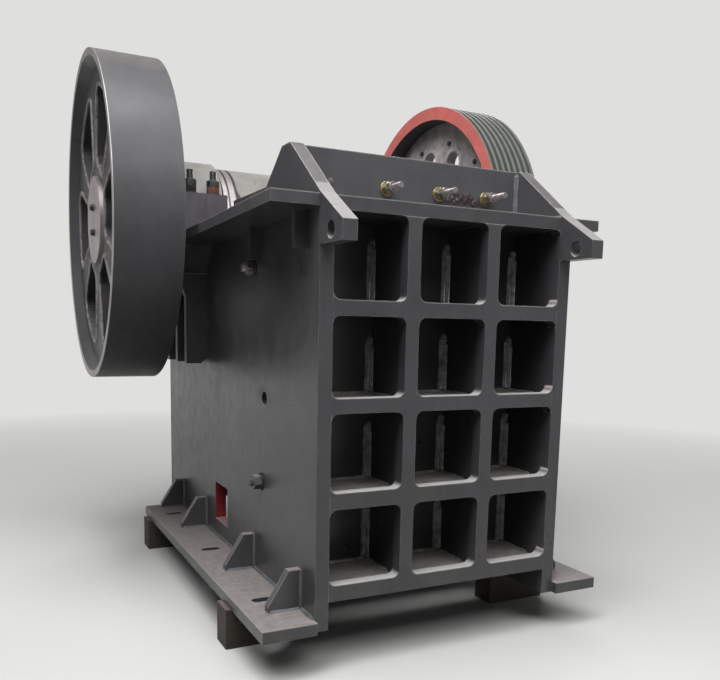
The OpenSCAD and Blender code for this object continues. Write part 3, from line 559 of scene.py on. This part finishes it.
def black_bolt(g):
    """Black oxide bolts with rubbed corners."""
    base = g.patches(g.noise(50, 5), (0.012, 0.012, 0.013), (0.045, 0.043, 0.042))
    base = g.mix(g.times(g.edge(0.0015), 0.6), base, (0.22, 0.21, 0.20))
    g.finish(base, g.sheen(40, 0.35, 0.6), g.bump(g.noise(200, 3), 0.1, 0.0004), metal=0.4)


def rusty_nut(g):
    """A nut left to rust, dark red-brown."""
    base = g.patches(g.noise(40, 6, 0.7), (0.05, 0.018, 0.012), (0.17, 0.055, 0.03))
    g.finish(base, g.sheen(40, 0.6, 0.85), g.bump(g.noise(200, 4), 0.3, 0.0006))


def grime(g):
    """Oily black-brown residue."""
    base = g.patches(g.noise(60, 6, 0.7), (0.014, 0.009, 0.012), (0.06, 0.04, 0.05), 0.35, 0.65)
    g.finish(base, g.sheen(50, 0.28, 0.6, 5), g.bump(g.noise(120, 6, 0.7), 0.5, 0.002))


MATERIALS = {}


def material(finish):
    """Makes the material of a finish once and hands it out after that."""
    if finish not in MATERIALS:
        g = Graph(bpy.data.materials.new(finish.__name__))
        finish(g)
        MATERIALS[finish] = g.owner
    return MATERIALS[finish]


def dress(node, finish):
    """Gives a piece of the frame its finish."""
    mesh = frame["nodes"][node].data
    mesh.materials.clear()
    mesh.materials.append(material(finish))


def smooth(mesh, degrees):
    """Shades a mesh smooth up to an angle between its faces."""
    mesh.shade_smooth()
    mesh.set_sharp_from_angle(angle=math.radians(degrees))


def round_axis(axis):
    """A direction with two more at right angles to it."""
    axis = axis.normalized()
    side = axis.orthogonal().normalized()
    return axis, side, axis.cross(side)


class Stock:
    """Collects the faces of many small like pieces, to make one mesh of them."""

    def __init__(self):
        self.points, self.faces, self.marks = [], [], []

    def rings(self, rings, mark=0, closed=False):
        """A skin over rings of the same number of points. A closed one returns to its first ring."""
        count, total = len(rings[0]), len(rings)
        faces = [] if closed else [tuple(reversed(range(count)))]
        for i in range(total if closed else total - 1):
            far = (i + 1) % total
            for k in range(count):
                n = (k + 1) % count
                faces.append((i * count + k, i * count + n, far * count + n, far * count + k))
        if not closed:
            faces.append(tuple(range((total - 1) * count, total * count)))
        start = len(self.points)
        self.points += [tuple(p) for ring in rings for p in ring]
        self.faces += [tuple(start + i for i in face) for face in faces]
        self.marks += [mark] * len(faces)

    def turned(self, at, axis, profile, sides, mark, phase=0.0):
        """A turned piece: the profile is a list of (distance along the axis, radius)."""
        axis, side, other = round_axis(axis)
        turns = [phase + 2 * math.pi * k / sides for k in range(sides)]
        self.rings([[at + axis * along + (side * math.cos(t) + other * math.sin(t)) * radius for t in turns]
                    for along, radius in profile], mark)

    def make(self, name, body, slot, *finishes):
        """Makes the piece and puts it on a body of the frame. slot is not used."""
        mesh = bpy.data.meshes.new(name)
        mesh.from_pydata(self.points, [], self.faces)
        for finish in finishes:
            mesh.materials.append(material(finish))
        mesh.polygons.foreach_set("material_index", self.marks)
        mesh.validate()
        made = bpy.data.objects.new(name, mesh)
        bpy.context.scene.collection.objects.link(made)
        smooth(mesh, 32)
        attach(made, body)


def washer(stock, at, axis, radius, bore, thick, mark=0):
    """A flat washer with eased edges, seated at a point."""
    ease = thick * 0.25
    profile = [(0, radius - ease), (ease, radius), (thick - ease, radius), (thick, radius - ease), (thick, bore)]
    stock.turned(at, axis, profile, 36, mark)


def nut(stock, at, axis, flats, height, mark, turn):
    """A hexagon nut with its corners turned off at both ends."""
    corner = flats / math.sqrt(3)
    axis, side, other = round_axis(axis)

    def hexagon(along, radius, rounding):
        ring = []
        for k in range(24):
            t = turn + 2 * math.pi * k / 24
            fold = (k % 4) * math.pi / 12 - math.pi / 6
            reach = (flats / 2) / math.cos(fold)
            reach += (min(reach, radius) - reach) * rounding
            ring.append(at + axis * along + (side * math.cos(t) + other * math.sin(t)) * reach)
        return ring

    cut = (corner - flats / 2) * 0.58
    stock.rings([hexagon(0, flats / 2, 1), hexagon(cut, corner, 0), hexagon(height - cut, corner, 0),
                 hexagon(height, flats / 2, 1)], mark)


def thread(stock, at, axis, radius, length, pitch, mark):
    """A bolt's end with its thread as fine ridges and a bevelled tip."""
    turns = max(2, int(length / pitch))
    profile = [(0, radius)]
    for i in range(turns):
        profile += [((i + 0.5) * pitch, radius * 0.93), ((i + 1) * pitch, radius)]
    profile.append((turns * pitch + radius * 0.12, radius * 0.84))
    stock.turned(at, axis, profile, 20, mark)


def bead(stock, start, end, a, b, leg, seed):
    """A fillet weld along an inner corner. a and b point from the corner along its two plates."""
    rand = random.Random(seed)
    run = end - start
    way = run.normalized()
    count = max(3, int(run.length / (work().ripple / 2)))
    skin = [(-0.12, -0.12), (1.0, -0.06), (0.80, 0.34), (0.50, 0.50), (0.34, 0.80), (-0.06, 1.0)]
    sway = [rand.uniform(0, 2 * math.pi) for _ in range(3)]
    rings = []
    for i in range(count + 1):
        s = i / count * run.length
        swell = 1 + 0.07 * math.sin(s * 41 + sway[0]) + 0.05 * math.sin(s * 97 + sway[1])
        swell *= 1.0 if i % 2 else 0.88
        taper = min(1.0, 0.45 + 0.55 * min(i, count - i) / 2)
        ring = []
        for p, q in skin:
            crest = max(0.0, p + q - 0.9) * leg * 0.55
            size = leg * swell * taper if p + q > 0 else leg
            ring.append(start + way * (s + crest) + (a * p + b * q) * size)
        rings.append(ring)
    if way.dot(a.cross(b)) < 0:
        rings = [list(reversed(r)) for r in rings]
    stock.rings(rings)


class PieceOperator:
    """What the operators of this file share."""

    bl_options = {"REGISTER", "UNDO"}


class CRUSHER_OT_finish_frame(PieceOperator, bpy.types.Operator):
    """Paint the welded frame, its inner primer, the jaws, the castings and the bare steel"""

    bl_idname = "crusher.finish_frame"
    bl_label = "Finish the frame"

    def execute(self, context):
        finishes = {"frame_paint": charcoal_plate, "primer_paint": red_primer, "machined_steel": machined_steel,
                    "bearing_casting": grey_casting, "jaw_steel": jaw_steel, "block_timber": block_stuff}
        for part in frame["record"]["subparts"]:
            if part["material_slot"] in finishes:
                dress(part["node"], finishes[part["material_slot"]])
        return {"FINISHED"}


class CRUSHER_OT_finish_wheels(PieceOperator, bpy.types.Operator):
    """Paint the flywheel and the grooved pulley with its coral ring"""

    bl_idname = "crusher.finish_wheels"
    bl_label = "Finish the wheels"

    def execute(self, context):
        for node, finish in (("flywheel", flywheel_paint), ("drive_pulley", pulley_paint)):
            dress(node, finish)
            smooth(frame["nodes"][node].data, 30)
        return {"FINISHED"}


def levels(node, axis):
    """Sorted places of a piece's corners along one axis, in metres."""
    return sorted({round(v.co[axis], 4) for v in frame["nodes"][node].data.vertices})


def pocket_lines():
    """Left and right edges of the front pockets' columns, and floors and ceilings of their rows."""
    ribs, shelves = levels("front_ribs_upright", 0), levels("front_ribs_level", 2)
    columns = [(-INNER, ribs[0]), (ribs[1], ribs[2]), (ribs[3], INNER)]
    tops = [*shelves[2:7:2], low("top_collar").z]
    return columns, list(zip(shelves[1:8:2], tops))


class CRUSHER_OT_weld_pockets(PieceOperator, bpy.types.Operator):
    """Run the heavy beads in the corners of the front pockets"""

    bl_idname = "crusher.weld_pockets"
    bl_label = "Weld the front pockets"

    def execute(self, context):
        columns, rows = pocket_lines()
        back = low("front_wall").y
        leg = work().heavy_bead
        light, second_run, shorter, forward = leg * 0.5, 0.72, 0.02, 0.19
        stock = Stock()
        seed = 0
        for floor, top in rows:
            for left, right in columns:
                for x, a in ((left, X), (right, -X)):
                    seed += 1
                    reach = floor + (top - floor) * random.Random(seed).uniform(0.72, 0.84)
                    for run, (p, q) in enumerate(((0, 0), (second_run, 0), (0, second_run))):
                        shift = (a * p - Y * q) * leg
                        foot = Vector((x, back, floor)) + shift
                        tip = Vector((x, back, reach - shorter * run)) + shift
                        bead(stock, foot, tip, a, -Y, leg * (second_run if run else 1), seed * 3 + run)
                    bead(stock, Vector((x, back, floor)), Vector((x, back - forward, floor)), a, Z, light, seed)
                corners = Vector((left, back, floor)), Vector((right, back, floor))
                bead(stock, *corners, -Y, Z, light, seed + 50)
        stock.make("pocket_welds", "frame", "frame_paint", bare_weld)
        return {"FINISHED"}


class CRUSHER_OT_weld_base(PieceOperator, bpy.types.Operator):
    """Weld the gussets and the base flanges to the side plates"""

    bl_idname = "crusher.weld_base"
    bl_label = "Weld the base"

    def execute(self, context):
        stock = Stock()
        leg = work().bead
        for side, name in ((-1, "left"), (1, "right")):
            plate, out = OUTER * side, X * side
            flange, gusset = high("base_flange_" + name), high("base_gussets_" + name)
            ys = levels("base_gussets_" + name, 1)
            width = abs((low if side < 0 else high)("base_gussets_" + name).x - plate)
            marks = [FACE + 0.005, *ys, min(flange.y, high("rear_wall").y)]
            for k in range(0, len(marks), 2):
                start, end = (Vector((plate, y, flange.z)) for y in marks[k:k + 2])
                bead(stock, start, end, out, Z, leg, k)
            for k, y in enumerate(ys):
                away = Y if k % 2 else -Y
                foot = Vector((plate, y, flange.z))
                bead(stock, foot, Vector((plate, y, gusset.z)), out, away, leg * 0.8, k + 20)
                bead(stock, foot, foot + out * (width - 0.004), away, Z, leg * 0.8, k + 40)
        stock.make("base_welds", "frame", "frame_paint", painted_weld)
        return {"FINISHED"}


class CRUSHER_OT_weld_top(PieceOperator, bpy.types.Operator):
    """Weld the front wall, the lugs and the top collar together"""

    bl_idname = "crusher.weld_top"
    bl_label = "Weld the top"

    def execute(self, context):
        stock = Stock()
        leg = work().bead
        shelf, wall = high("top_collar").z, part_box("front_wall")
        face, top = wall[0].y, wall[1].z - 0.01
        bead(stock, Vector((-INNER, face, shelf)), Vector((INNER, face, shelf)), -Y, Z, leg, 1)
        for x, a in ((-INNER, X), (INNER, -X)):
            corner = Vector((x, face, shelf))
            bead(stock, corner, Vector((x, face, top)), a, -Y, leg * 1.3, 2)
            bead(stock, corner, Vector((x, low("top_collar").y + 0.004, shelf)), a, Z, leg * 0.9, 3)
            behind = Vector((x, wall[1].y, shelf - 0.25))
            bead(stock, behind, Vector((x, wall[1].y, top)), a, Y, leg * 1.2, 4)
        stock.make("top_welds", "frame", "frame_paint", painted_weld)
        return {"FINISHED"}


class CRUSHER_OT_weld_rear(PieceOperator, bpy.types.Operator):
    """Weld the ribs to the rear wall"""

    bl_idname = "crusher.weld_rear"
    bl_label = "Weld the rear"

    def execute(self, context):
        stock = Stock()
        leg = work().bead * 0.8
        back, ribs = high("rear_wall").y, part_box("rear_ribs_upright")
        for k, x in enumerate([-INNER, *levels("rear_ribs_upright", 0), INNER]):
            foot, top = Vector((x, back, ribs[0].z)), Vector((x, back, ribs[1].z))
            bead(stock, foot, top, -X if k % 2 else X, Y, leg, k)
        for k, z in enumerate(levels("rear_ribs_level", 2)[:-1]):
            left, right = Vector((-INNER, back, z)), Vector((INNER, back, z))
            bead(stock, left, right, Y, Z if k % 2 else -Z, leg, k + 10)
        stock.make("rear_welds", "frame", "frame_paint", painted_weld)
        return {"FINISHED"}


class CRUSHER_OT_front_nuts(PieceOperator, bpy.types.Operator):
    """Set the fixed jaw's nuts on the front wall, the residue between two of them and the plugged hole"""

    bl_idname = "crusher.front_nuts"
    bl_label = "Front wall nuts"

    def execute(self, context):
        zinc, grey, plugged, residue = range(4)
        face = low("front_wall").y
        height = high("top_collar").z + WALL_NUTS_OVER_COLLAR
        flats = work().wall_nut
        thick, under = flats * 0.62, 0.005
        stock = Stock()
        for k, x in enumerate(WALL_NUTS_X):
            seat = Vector((x, face, height))
            washer(stock, seat, -Y, flats * 0.68, flats * 0.3, under, zinc)
            nut(stock, seat - Y * under, -Y, flats, thick, zinc, 0.3 + k * 0.9)
            nut(stock, seat - Y * (under + 0.001 + thick), -Y, flats * 0.92, thick, grey, 0.8 + k * 0.7)
            thread(stock, seat - Y * (under - 0.001 + 2 * thick), -Y, flats * 0.27, 0.060 + 0.012 * k, 0.003, grey)
        plug = Vector((PLUG_X, face, height + 0.006))
        stock.turned(plug, -Y, [(0, 0.0125), (0.002, 0.012), (0.003, 0.009)], 24, plugged)
        rand = random.Random(8)
        for k in range(26):
            x = rand.uniform(WALL_NUTS_X[1] + flats, WALL_NUTS_X[2] - flats)
            lump = Vector((x, face, height - 0.006 + rand.uniform(-0.017, 0.014)))
            size = rand.uniform(0.007, 0.014)
            lean = Vector((rand.uniform(-0.3, 0.3), -1, rand.uniform(-0.3, 0.3)))
            stock.turned(lump, lean, [(-0.003, size), (size * 0.25, size * 0.9), (size * 0.45, size * 0.4)],
                         9, residue, k)
        stock.make("front_wall_nuts", "frame", "machined_steel", yellow_zinc, grey_nut, painted_weld, grime)
        return {"FINISHED"}


class CRUSHER_OT_side_bolts(PieceOperator, bpy.types.Operator):
    """Set the cheek plate bolts on both side plates"""

    bl_idname = "crusher.side_bolts"
    bl_label = "Side bolts"

    def execute(self, context):
        black, grey, painted = range(3)
        flats = work().side_nut
        thick, height = flats * 0.12, flats * 0.55
        stock = Stock()
        for side in (-1, 1):
            for (y, z), finish in ((UPPER_SIDE_BOLT_YZ, grey), (LOWER_SIDE_BOLT_YZ, painted)):
                seat, out = Vector((OUTER * side, FACE + y, z)), X * side
                washer(stock, seat, out, flats * 0.67, flats * 0.3, thick, black)
                nut(stock, seat + out * thick, out, flats, height, finish, y)
                end = seat + out * (thick + height - 0.001)
                thread(stock, end, out, flats * 0.31, flats * 0.35, flats * 0.06, finish)
        stock.make("side_plate_bolts", "frame", "machined_steel", black_bolt, grey_nut, painted_weld)
        return {"FINISHED"}


class CRUSHER_OT_bearing_bolts(PieceOperator, bpy.types.Operator):
    """Set the cap bolts of the bearing housings, each with two nuts"""

    bl_idname = "crusher.bearing_bolts"
    bl_label = "Bearing bolts"

    def execute(self, context):
        black, rusty = range(2)
        stock = Stock()
        flats, thick, height, stud = work().cap_nut, 0.006, 0.030, 0.0155
        for name, side in (("bearing_cap_left", -1), ("bearing_cap_right", 1)):
            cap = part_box(name)
            for x in CAP_BOLTS_X:
                for y in (cap[0].y + CAP_BOLT_INSET, cap[1].y - CAP_BOLT_INSET):
                    foot = Vector((side * x, y, SHAFT.z + CAP_LUG_OVER_SHAFT))
                    lower = rusty if x == CAP_BOLTS_X[0] and y < SHAFT.y and side < 0 else black
                    washer(stock, foot, Z, flats * 0.63, stud, thick, black)
                    nut(stock, foot + Z * thick, Z, flats, height, lower, x * 9)
                    nut(stock, foot + Z * (thick + height), Z, flats, height, black, y * 7)
                    thread(stock, foot + Z * (thick + 2 * height - 0.001), Z, stud, 0.045, 0.004, black)
        stock.make("bearing_cap_bolts", "frame", "machined_steel", black_bolt, rusty_nut)
        return {"FINISHED"}


class CRUSHER_OT_wheel_bolts(PieceOperator, bpy.types.Operator):
    """Set the bolts of the hub covers and of the pulley's web"""

    bl_idname = "crusher.wheel_bolts"
    bl_label = "Hub and web bolts"

    def execute(self, context):
        stock = Stock()
        for name, side in (("hub_cover_left", -1), ("hub_cover_right", 1)):
            face = (low if side < 0 else high)(name).x
            for up in (-1, 1):
                spot = Vector((face, SHAFT.y, SHAFT.z + up * wheels().cover_bolts))
                washer(stock, spot, X * side, 0.019, 0.008, 0.003)
                nut(stock, spot + X * side * 0.003, X * side, 0.026, 0.014, 0, up)
        web = PULLEY_RIM[0] + WEB_BEHIND_RIM
        for k in range(WEB_BOLTS):
            t = math.radians(WEB_BOLT_TURN + 360 / WEB_BOLTS * k)
            spoke = (Z * math.cos(t) - Y * math.sin(t)) * wheels().web_bolts
            nut(stock, Vector((web, SHAFT.y, SHAFT.z)) + spoke, -X, 0.024, 0.012, 0, t)
        stock.make("wheel_bolts", "rotor", "machined_steel", black_bolt)
        return {"FINISHED"}


def window_loops(face):
    """The outlines of the flywheel's windows on one face of its web, each as a list of points in order."""
    loops = {}
    inner, outer = wheels().window_inner - 0.01, wheels().window_outer + 0.01
    for vertex in frame["nodes"]["flywheel"].data.vertices:
        p = vertex.co
        if abs(p.x - face) < 0.0005 and inner < off_shaft(p) < outer:
            turn = math.atan2(p.y - SHAFT.y, p.z - SHAFT.z) % (2 * math.pi)
            loops.setdefault(int(turn // math.radians(60)), set()).add((round(p.y, 5), round(p.z, 5)))
    ordered = []
    for points in loops.values():
        y, z = (sum(places) / len(points) for places in zip(*points))
        points = sorted(points, key=lambda p: math.atan2(p[1] - z, p[0] - y))
        ordered.append([Vector((face, *p)) for p in points])
    return ordered


class CRUSHER_OT_window_edges(PieceOperator, bpy.types.Operator):
    """Raise the cast edges round the flywheel's windows"""

    bl_idname = "crusher.window_edges"
    bl_label = "Flywheel window edges"

    def execute(self, context):
        stock = Stock()
        left, right, _ = FLYWHEEL_RIM
        wide = wheels().edge_bead
        skin = [(0.0, -0.1), (0.0, 0.25), (0.2, 0.4), (0.6, 0.4), (0.95, 0.15), (1.1, -0.1)]
        web = [x for x in levels("flywheel", 0) if left + 0.02 < x < right - 0.02]
        outlines = [(face, loop) for face in web for loop in window_loops(face)]
        if len(outlines) < 6:
            raise RuntimeError("the flywheel's windows weren't found")
        for face, loop in outlines:
            side = -1 if face < (left + right) / 2 else 1
            rings = []
            for i, p in enumerate(loop):
                along = (loop[(i + 1) % len(loop)] - loop[i - 1]).normalized()
                away = along.cross(X)
                rings.append([p + (away * s + X * side * h) * wide for s, h in skin])
            stock.rings(rings if side < 0 else [list(reversed(r)) for r in rings], closed=True)
        stock.make("flywheel_window_edges", "rotor", "wheel_paint", rubbed_edge)
        return {"FINISHED"}


def seen_by_eye(g):
    """1 for rays that show the studio itself: those of the camera, of gloss and of glass."""
    path = g.node("ShaderNodeLightPath").outputs
    gloss = g.sum(path["Is Camera Ray"], path["Is Glossy Ray"])
    return g.sum(gloss, path["Is Transmission Ray"], clamp=True)


def soft_lamp(name, place, power, width, height):
    """A rectangular lamp aimed at the middle of the machine."""
    data = bpy.data.lights.new(name, "AREA")
    data.shape = "RECTANGLE"
    data.size, data.size_y = width, height
    data.energy = power
    lamp = bpy.data.objects.new(name, data)
    lamp.location = place
    lamp.rotation_euler = (Vector((0, 0, 1.1)) - Vector(place)).to_track_quat("-Z", "Y").to_euler()
    bpy.context.scene.collection.objects.link(lamp)


class CRUSHER_OT_studio(PieceOperator, bpy.types.Operator):
    """Set up the floor, the backdrop, the lamps and the camera"""

    bl_idname = "crusher.studio"
    bl_label = "Studio"

    def execute(self, context):
        scene = context.scene
        scene.view_settings.view_transform = "Standard"
        self.floor(scene)
        self.world(scene)
        soft_lamp("key_lamp", (0.2, -4.8, 5.4), studio().key, 3.2, 2.6)
        soft_lamp("side_lamp", (-4.4, -2.6, 6.0), studio().side, 2.6, 2.6)
        soft_lamp("top_lamp", (-1.8, -1.8, 6.4), studio().top, 3.6, 5.0)
        soft_lamp("back_lamp", (3.8, 5.2, 4.5), studio().back, 3.5, 3.0)
        self.camera(scene)
        return {"FINISHED"}

    def floor(self, scene):
        """A plain floor that looks paler to the camera than to the light it throws back."""
        mesh = bpy.data.meshes.new("studio_floor")
        half = 40
        mesh.from_pydata([(-half, -half, 0), (half, -half, 0), (half, half, 0), (-half, half, 0)], [], [(0, 1, 2, 3)])
        floor = bpy.data.objects.new("studio_floor", mesh)
        scene.collection.objects.link(floor)
        g = Graph(bpy.data.materials.new("studio_floor"))
        seen = seen_by_eye(g)
        g.finish(g.mix(seen, studio().floor_bounce, studio().floor), 0.7, specular=0.2)
        glow = g.node("ShaderNodeEmission", {"Color": studio().backdrop})
        far = g.between(g.vector("LENGTH", g.where), studio().near, studio().far)
        g.blend(g.times(seen, far), g.shader.outputs["BSDF"], glow.outputs["Emission"], "Material Output")
        mesh.materials.append(g.owner)

    def world(self, scene):
        """Even light, and for the eye a pale backdrop. In gloss it is dimmer higher up."""
        scene.world = bpy.data.worlds.new("studio_world")
        g = Graph(scene.world, "Generated")
        light = g.tree.nodes["Background"]
        g.plug(light.inputs["Color"], (1, 1, 1))
        g.plug(light.inputs["Strength"], studio().sky)
        gloss = g.node("ShaderNodeLightPath").outputs["Is Glossy Ray"]
        dim = g.times(g.between(g.place()["Z"], 0.0, 0.30, 0.0, 0.7), gloss)
        pale = g.node("ShaderNodeBackground", {"Color": studio().backdrop, "Strength": g.sum(1, dim, "SUBTRACT")})
        g.blend(seen_by_eye(g), light.outputs["Background"], pale.outputs["Background"], "World Output")

    def camera(self, scene):
        """The camera, placed by its three angles."""
        data = bpy.data.cameras.new("camera")
        data.sensor_width = 36
        data.lens = studio().lens
        data.shift_y = studio().shift
        camera = bpy.data.objects.new("camera", data)
        scene.collection.objects.link(camera)
        turn = Matrix.Rotation(-studio().yaw, 4, "Z") @ Matrix.Rotation(math.pi / 2 - studio().pitch, 4, "X")
        camera.matrix_world = Matrix.Translation(studio().place) @ turn @ Matrix.Rotation(studio().roll, 4, "Z")
        scene.camera = camera


class CRUSHER_PT_panel(bpy.types.Panel):
    """Lists the operators of the crusher's looks"""

    bl_label = "Jaw crusher"
    bl_idname = "CRUSHER_PT_panel"
    bl_space_type = "VIEW_3D"
    bl_region_type = "UI"
    bl_category = "Crusher"

    def draw(self, context):
        for operator in OPERATORS:
            self.layout.operator(operator.bl_idname)


OPERATORS = (
    CRUSHER_OT_studio, CRUSHER_OT_finish_frame, CRUSHER_OT_finish_wheels, CRUSHER_OT_weld_pockets,
    CRUSHER_OT_weld_base, CRUSHER_OT_weld_top, CRUSHER_OT_weld_rear, CRUSHER_OT_front_nuts,
    CRUSHER_OT_side_bolts, CRUSHER_OT_bearing_bolts, CRUSHER_OT_wheel_bolts, CRUSHER_OT_window_edges,
)
GROUPS = {"crusher_paint": CrusherPaint, "crusher_work": CrusherWork,
          "crusher_wheels": CrusherWheels, "crusher_studio": CrusherStudio}
CLASSES = (*GROUPS.values(), *OPERATORS, CRUSHER_PT_panel)


def register():
    for cls in CLASSES:
        bpy.utils.register_class(cls)
    for name, group in GROUPS.items():
        setattr(bpy.types.Scene, name, bpy.props.PointerProperty(type=group))


def unregister():
    for name in GROUPS:
        delattr(bpy.types.Scene, name)
    for cls in reversed(CLASSES):
        bpy.utils.unregister_class(cls)


def main():
    register()
    for operator in OPERATORS:
        group, name = operator.bl_idname.split(".")
        if "FINISHED" not in getattr(getattr(bpy.ops, group), name)():
            raise RuntimeError(operator.bl_label + " didn't finish")


if __name__ == "__main__":
    main()
